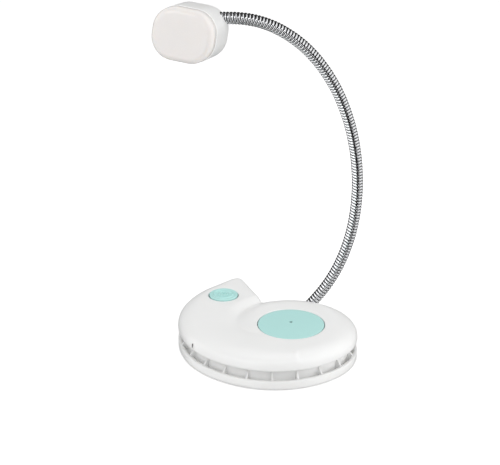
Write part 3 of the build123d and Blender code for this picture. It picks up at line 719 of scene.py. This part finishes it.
def makeNeck():  # one coil piece for each stretch between the middles of the CAD sections
    tree = coilTree()
    sections = len(neck["bends"])
    step = neck["length"] / sections
    cuts = [-neck["root"]] + [step * (i + 0.5) for i in range(sections)] + [neck["length"] + neck["tip"]]
    at = [point for length, point in neckPoints]
    sizes = {"Pitch": neck["pitch"] * mm, "Wire": neck["wire"] * mm, "Wire Depth": neck["wireDepth"] * mm,
             "Radius": neck["radius"] * mm, "Core": neck["core"] * mm, "Across": neckAcross,
             "Turn Points": neck["turnPoints"], "Outer": neckChrome, "Inner": neckShade}
    for i, (low, high) in enumerate(zip(cuts, cuts[1:])):
        piece = polyCurve("neckCoil%d" % (i + 1), at)
        span = {"Start": (low + neck["root"]) * mm, "End": (high + neck["root"]) * mm}
        treeModifier(piece, tree, {**span, **sizes})
        made = applied(piece)
        made.data.shade_smooth()
        if i == 0:
            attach(made, "housing")
            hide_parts("neck_section_1")
        elif i == sections:
            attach(made, "head")
        else:
            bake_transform(made)
            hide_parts("neck_section_%d" % (i + 1))


makeNeck()
print("neck made")


# ribs of the lower jaw
ribs = {"count": 22, "phase": 7.4, "centre": (-8.0, 7.0), "thick": 0.85, "lastY": 19.6,   # degrees and mm
        "outer": 0.7, "inner": 4.0, "low": 1.5, "lip": 4.1, "top": 7.95, "soft": 0.12}


def ribTree():  # a rib wherever a ray from the centre meets the outline, none past the last y
    tree, start, end = newTree("ribsRound", {"Count": "Int", "Phase": "Float", "Centre": "Vector",
                                             "Last Y": "Float", "Rib": "Object", "Finish": "Material"})
    pin = start.outputs
    points = addNode(tree, "GeometryNodePoints", links={"Count": pin["Count"], "Position": pin["Centre"]})
    step = addNode(tree, "ShaderNodeMath", {"operation": "DIVIDE", 0: 2 * math.pi}, {1: pin["Count"]})
    index = addNode(tree, "GeometryNodeInputIndex")
    angle = addNode(tree, "ShaderNodeMath", {"operation": "MULTIPLY_ADD"},
                    {0: index.outputs[0], 1: step.outputs[0], 2: pin["Phase"]})
    cosine = addNode(tree, "ShaderNodeMath", {"operation": "COSINE"}, {0: angle.outputs[0]})
    sine = addNode(tree, "ShaderNodeMath", {"operation": "SINE"}, {0: angle.outputs[0]})
    way = addNode(tree, "ShaderNodeCombineXYZ", links={0: cosine.outputs[0], 1: sine.outputs[0]})
    ray = addNode(tree, "GeometryNodeRaycast", {"Ray Length": 0.2},
                  {"Target Geometry": pin["Geometry"], "Source Position": pin["Centre"],
                   "Ray Direction": way.outputs[0]})
    moved = addNode(tree, "GeometryNodeSetPosition",
                    links={"Geometry": points.outputs[0], "Position": ray.outputs["Hit Position"]})
    turn = addNode(tree, "ShaderNodeCombineXYZ", links={2: angle.outputs[0]})
    place = addNode(tree, "GeometryNodeInputPosition")
    high = addNode(tree, "ShaderNodeSeparateXYZ", links={0: place.outputs[0]})
    behind = addNode(tree, "FunctionNodeCompare", {"operation": "GREATER_THAN"},
                     {0: high.outputs[1], 1: pin["Last Y"]})
    rib = addNode(tree, "GeometryNodeObjectInfo", links={"Object": pin["Rib"]})
    copies = addNode(tree, "GeometryNodeInstanceOnPoints",
                     links={"Points": moved.outputs[0], "Instance": rib.outputs["Geometry"],
                            "Rotation": turn.outputs[0]})
    kept = addNode(tree, "GeometryNodeDeleteGeometry", {"domain": "INSTANCE"},
                   {"Geometry": copies.outputs[0], "Selection": behind.outputs[0]})
    real = addNode(tree, "GeometryNodeRealizeInstances", links={0: kept.outputs[0]})
    finish = addNode(tree, "GeometryNodeSetMaterial", links={0: real.outputs[0], "Material": pin["Finish"]})
    tree.links.new(finish.outputs[0], end.inputs[0])
    return tree


def makeRibs():
    wall = [Vector((p.x, p.y, z)) * mm for z in (-1, 1) for p in matchedLine(0)]
    rail = makePiece("jawRibs", meshFrom("ribRail", wall, rowFaces(2, lineCount, False)), whiteAbs, None)
    half = ribs["thick"] / 2
    side = [(-ribs["outer"], ribs["low"]), (-ribs["outer"], ribs["lip"]), (-ribs["inner"], ribs["top"]),
            (-ribs["inner"], ribs["low"])]
    verts = [Vector((x, y, z)) * mm for y in (-half, half) for x, z in side]
    unit = makePiece("ribShape", meshFrom("ribShape", verts, rowFaces(2, 4)), whiteAbs, None, smooth=False)
    unit.modifiers.new("soft", "BEVEL").width = ribs["soft"] * mm
    bpy.context.view_layer.update()
    treeModifier(rail, ribTree(), {"Count": ribs["count"], "Phase": math.radians(ribs["phase"]),
                                   "Centre": Vector((*ribs["centre"], 0)) * mm, "Last Y": ribs["lastY"] * mm,
                                   "Rib": unit, "Finish": whiteAbs})
    made = applied(rail)
    bpy.data.objects.remove(unit)
    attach(made, "lower_jaw")


makeRibs()
print("ribs made")


# turned pieces: trim disc and power button
disc = {"radius": 14.3, "low": 14.3, "edge": 14.95, "crown": 15.15, "round": 0.3,       # mm
        "dot": (0.0, 1.6), "dotRadius": 0.8}
button = {"centre": shell["button"], "radius": 6.4, "stem": 5.8, "low": 12.35, "step": 13.25, "top": 15.33,
          "round": 0.5, "rim": 0.8, "dish": 0.3, "ring": 4.3, "ringHigh": 0.6, "ringSoft": 0.32,
          "mark": 1.9, "markGap": 38, "stroke": (0.5, 2.6), "markWire": 0.4}


def lathe(name, profile, centre, count=96):  # profile of (radius, height) from the axis out and back, mm
    verts = []
    for radius, height in profile:
        verts += [Vector((p.x, p.y, height)) * mm for p in circleLine(centre, radius, count)]
    return meshFrom(name, verts, rowFaces(len(profile), count))


def makeDisc():
    r, e = disc["radius"], disc["round"]
    profile = [(0.02, disc["low"]), (r - 0.1, disc["low"]), (r, disc["low"] + 0.1), (r, disc["edge"] - e)]
    for a in np.linspace(0.3, 1.45, 6):
        profile.append((r - e + e * math.cos(a), disc["edge"] - e + e * math.sin(a)))
    for u in np.linspace(0.96, 0.0, 16):
        profile.append((max((r - e) * u, 0.02), disc["crown"] - (disc["crown"] - disc["edge"]) * u * u))
    piece = makePiece("trimDisc", lathe("trimDisc", profile, (0, 0)), tealAbs, None)
    drill = lathe("dotTool", [(disc["dotRadius"], 10), (disc["dotRadius"], 20)], disc["dot"], 32)
    hole = makePiece("dotTool", drill, tealAbs, None)
    cut = piece.modifiers.new("dot", "BOOLEAN")
    cut.operation = "DIFFERENCE"
    cut.object = hole
    applied(piece)
    bpy.data.objects.remove(hole)
    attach(piece, "housing")
    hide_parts("trim_disc")


def makeButton():
    r, top, e, ring = button["radius"], button["top"], button["round"], button["ring"]
    faceRadius = r - button["rim"]
    profile = [(0.02, button["low"]), (button["stem"], button["low"]), (button["stem"], button["step"]),
               (r - 0.02, button["step"]), (r, top - e - 0.1)]
    profile += [(r - e + e * math.cos(a), top - e + e * math.sin(a)) for a in np.linspace(0.1, 1.5, 6)]
    for u in np.linspace(faceRadius, 0.02, 40):
        dish = button["dish"] * smoothStep(faceRadius, faceRadius - 1.4, u)
        bead = button["ringHigh"] * math.exp(-((u - ring) / button["ringSoft"]) ** 2)
        profile.append((u, top - 0.02 - float(dish) + bead))
    makePiece("powerButton", lathe("powerButton", profile, button["centre"]), tealAbs, "power_button",
              ["power_button"])
    face = top - button["dish"]
    gap = button["markGap"]
    arc = [(*polar(button["centre"], button["mark"], 90 + a), face) for a in np.linspace(gap, 360 - gap, 40)]
    stroke = [(button["centre"][0], button["centre"][1] + y, face) for y in button["stroke"]]
    for label, points in (("powerMarkRing", arc), ("powerMarkStroke", stroke)):
        curve = polyCurve(label, points)
        curve.data.bevel_depth = button["markWire"] * mm
        curve.data.use_fill_caps = True
        made = applied(curve)
        made.data.materials.append(tealAbs)
        made.data.shade_smooth()
        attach(made, "power_button")


makeDisc()
makeButton()
print("disc and button made")


# head
head = {"fromBend": (-18.52, -18.82, -2.64), "normal": (-0.232, -0.947, 0.118), "roll": -8.0,   # mm, degrees
        "wide": 25.0, "high": 20.9, "corner": 9.2, "cornerPoints": 32,
        "depth": 24.5, "backRound": 2.4, "wall": 1.4, "backWall": 1.5,
        "lens": 5.0, "lensRound": 2.6, "lensWall": 1.6, "lensGap": 0.15, "seam": 0.35}
headCount = 4 * head["cornerPoints"]
headZ = Vector(head["normal"]).normalized()
headX = Matrix.Rotation(math.radians(head["roll"]), 3, headZ) @ Vector((0, 0, 1)).cross(headZ).normalized()
headY = headZ.cross(headX)
headC = neckPoints[-2][1] + Vector(head["fromBend"])


def headRow(inset, z):  # a rounded oblong round the head's axis, z in front of its face
    wide, high = head["wide"] / 2 - inset, head["high"] / 2 - inset
    corner = max(head["corner"] - inset, 0.3)
    points = []
    steps = head["cornerPoints"]
    for cx, cy, start in ((wide - corner, high - corner, 0), (corner - wide, high - corner, 90),
                          (corner - wide, corner - high, 180), (wide - corner, corner - high, 270)):
        points += [polar((cx, cy), corner, start + 90 * i / (steps - 1)) for i in range(steps)]
    return [(headC + headX * p.x + headY * p.y + headZ * z) * mm for p in resample(points, headCount)]


def headPiece(name, rows, material, node):
    verts = [v for inset, z in rows for v in headRow(inset, z)]
    makePiece(name, meshFrom(name, verts, rowFaces(len(rows), headCount)), material, "head", [node])


def lensRows():  # inset and z of each row, from the middle of the inner face to the middle of the outer one
    r, depth, wall, gap = head["lensRound"], head["lens"], head["lensWall"], head["lensGap"]
    inner = [(9.0, -wall), (6.0, -wall), (wall + 1.2, -wall), (wall + 0.35, -wall - 0.35)]
    inner.append((wall, -wall - 1.2))
    foot = [(wall, -depth), (gap + 0.2, -depth), (gap + 0.02, -depth + 0.1), (gap, -depth + 0.3)]
    bend = [(gap + r - r * math.cos(a), -r + r * math.sin(a)) for a in np.linspace(0, math.pi / 2, 12)]
    face = [(gap + r + (head["high"] / 2 - r - 0.4) * u, 0.0) for u in (0.2, 0.4, 0.6)]
    return inner + foot + bend + face


def backRows():  # the white back, from the middle of its inner floor to the middle of its outer face
    wall, b = head["wall"], head["backRound"]
    back, front = -head["depth"], -head["lens"] - head["seam"]
    floorZ = back + head["backWall"]
    inner = [(9.8, floorZ), (b, floorZ), (wall + 0.6, floorZ + 0.9), (wall, floorZ + 2.1)]
    rim = [(wall, front - 0.1), (wall + 0.08, front - 0.02), (0.5, front), (0.2, front - 0.08)]
    rim += [(0.04, front - 0.3), (0.0, front - 0.6)]
    bend = [(b - b * math.cos(a), back + b - b * math.sin(a)) for a in np.linspace(0, math.pi / 2, 16)]
    face = [(b + (head["high"] / 2 - b - 0.3) * u, back) for u in (0.3, 0.6, 1.0)]
    return inner + rim + bend + face


def makeHead():
    headPiece("headLens", lensRows(), milky, "diffuser")
    headPiece("headBack", backRows(), whiteAbs, "head_shell")


makeHead()
print("head made")


# spring of the clip
spring = {"y": 36.0, "z": 5.4, "wire": 0.3, "radius": 1.75, "turns": 4.5, "pitch": 0.7, "from": -29.25,
          "leg": 6.5, "lowEnd": 2.4, "highEnd": 8.2, "turnSteps": 24,
          "stillBelow": 3.6, "stillAbove": 7.2}      # heights, mm


def makeSpring():
    n = spring["turnSteps"]
    points = [(spring["from"], spring["y"] + spring["leg"], spring["lowEnd"])]
    for i in range(int(spring["turns"] * n) + 1):
        place = polar((spring["y"], spring["z"]), spring["radius"], -90 - 360 * i / n)
        points.append((spring["from"] + spring["pitch"] * i / n, place.x, place.y))
    points.append((points[-1][0], spring["y"] + spring["leg"], spring["highEnd"]))
    curve = polyCurve("clipSpring", points)
    curve.data.bevel_depth = spring["wire"] * mm
    curve.data.use_fill_caps = True
    made = applied(curve)
    made.data.materials.append(zincSteel)
    made.data.shade_smooth()
    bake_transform(made)
    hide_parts("torsion_spring")


makeSpring()
print("spring made")


# finishes of the pieces kept from the CAD
finishes = {whiteAbs: ["bottom_cover"], siliconePad: ["jaw_pad", "housing_pad"],
            zincSteel: ["hinge_pin", "cover_screws", "neck_ferrule", "neck_set_screw", "usb_socket",
                        "board_screws", "head_ferrule"],
            blackPlastic: ["tact_switch"], smokedAcrylic: ["light_pipe", "indicator_window"],
            pvcJacket: ["battery_leads", "foot_lead"] + ["neck_wire_%d" % (i + 1) for i in range(8)],
            boardGreen: ["main_board"], boardWhite: ["led_board"], phosphor: ["charge_led", "leds"],
            foilPouch: ["battery"], foamTape: ["battery_foam"], petSheet: ["reflector"]}
for finish, names in finishes.items():
    for name in names:
        nodes[name].data.materials.clear()
        nodes[name].data.materials.append(finish)
print("finishes set on the CAD's own pieces")
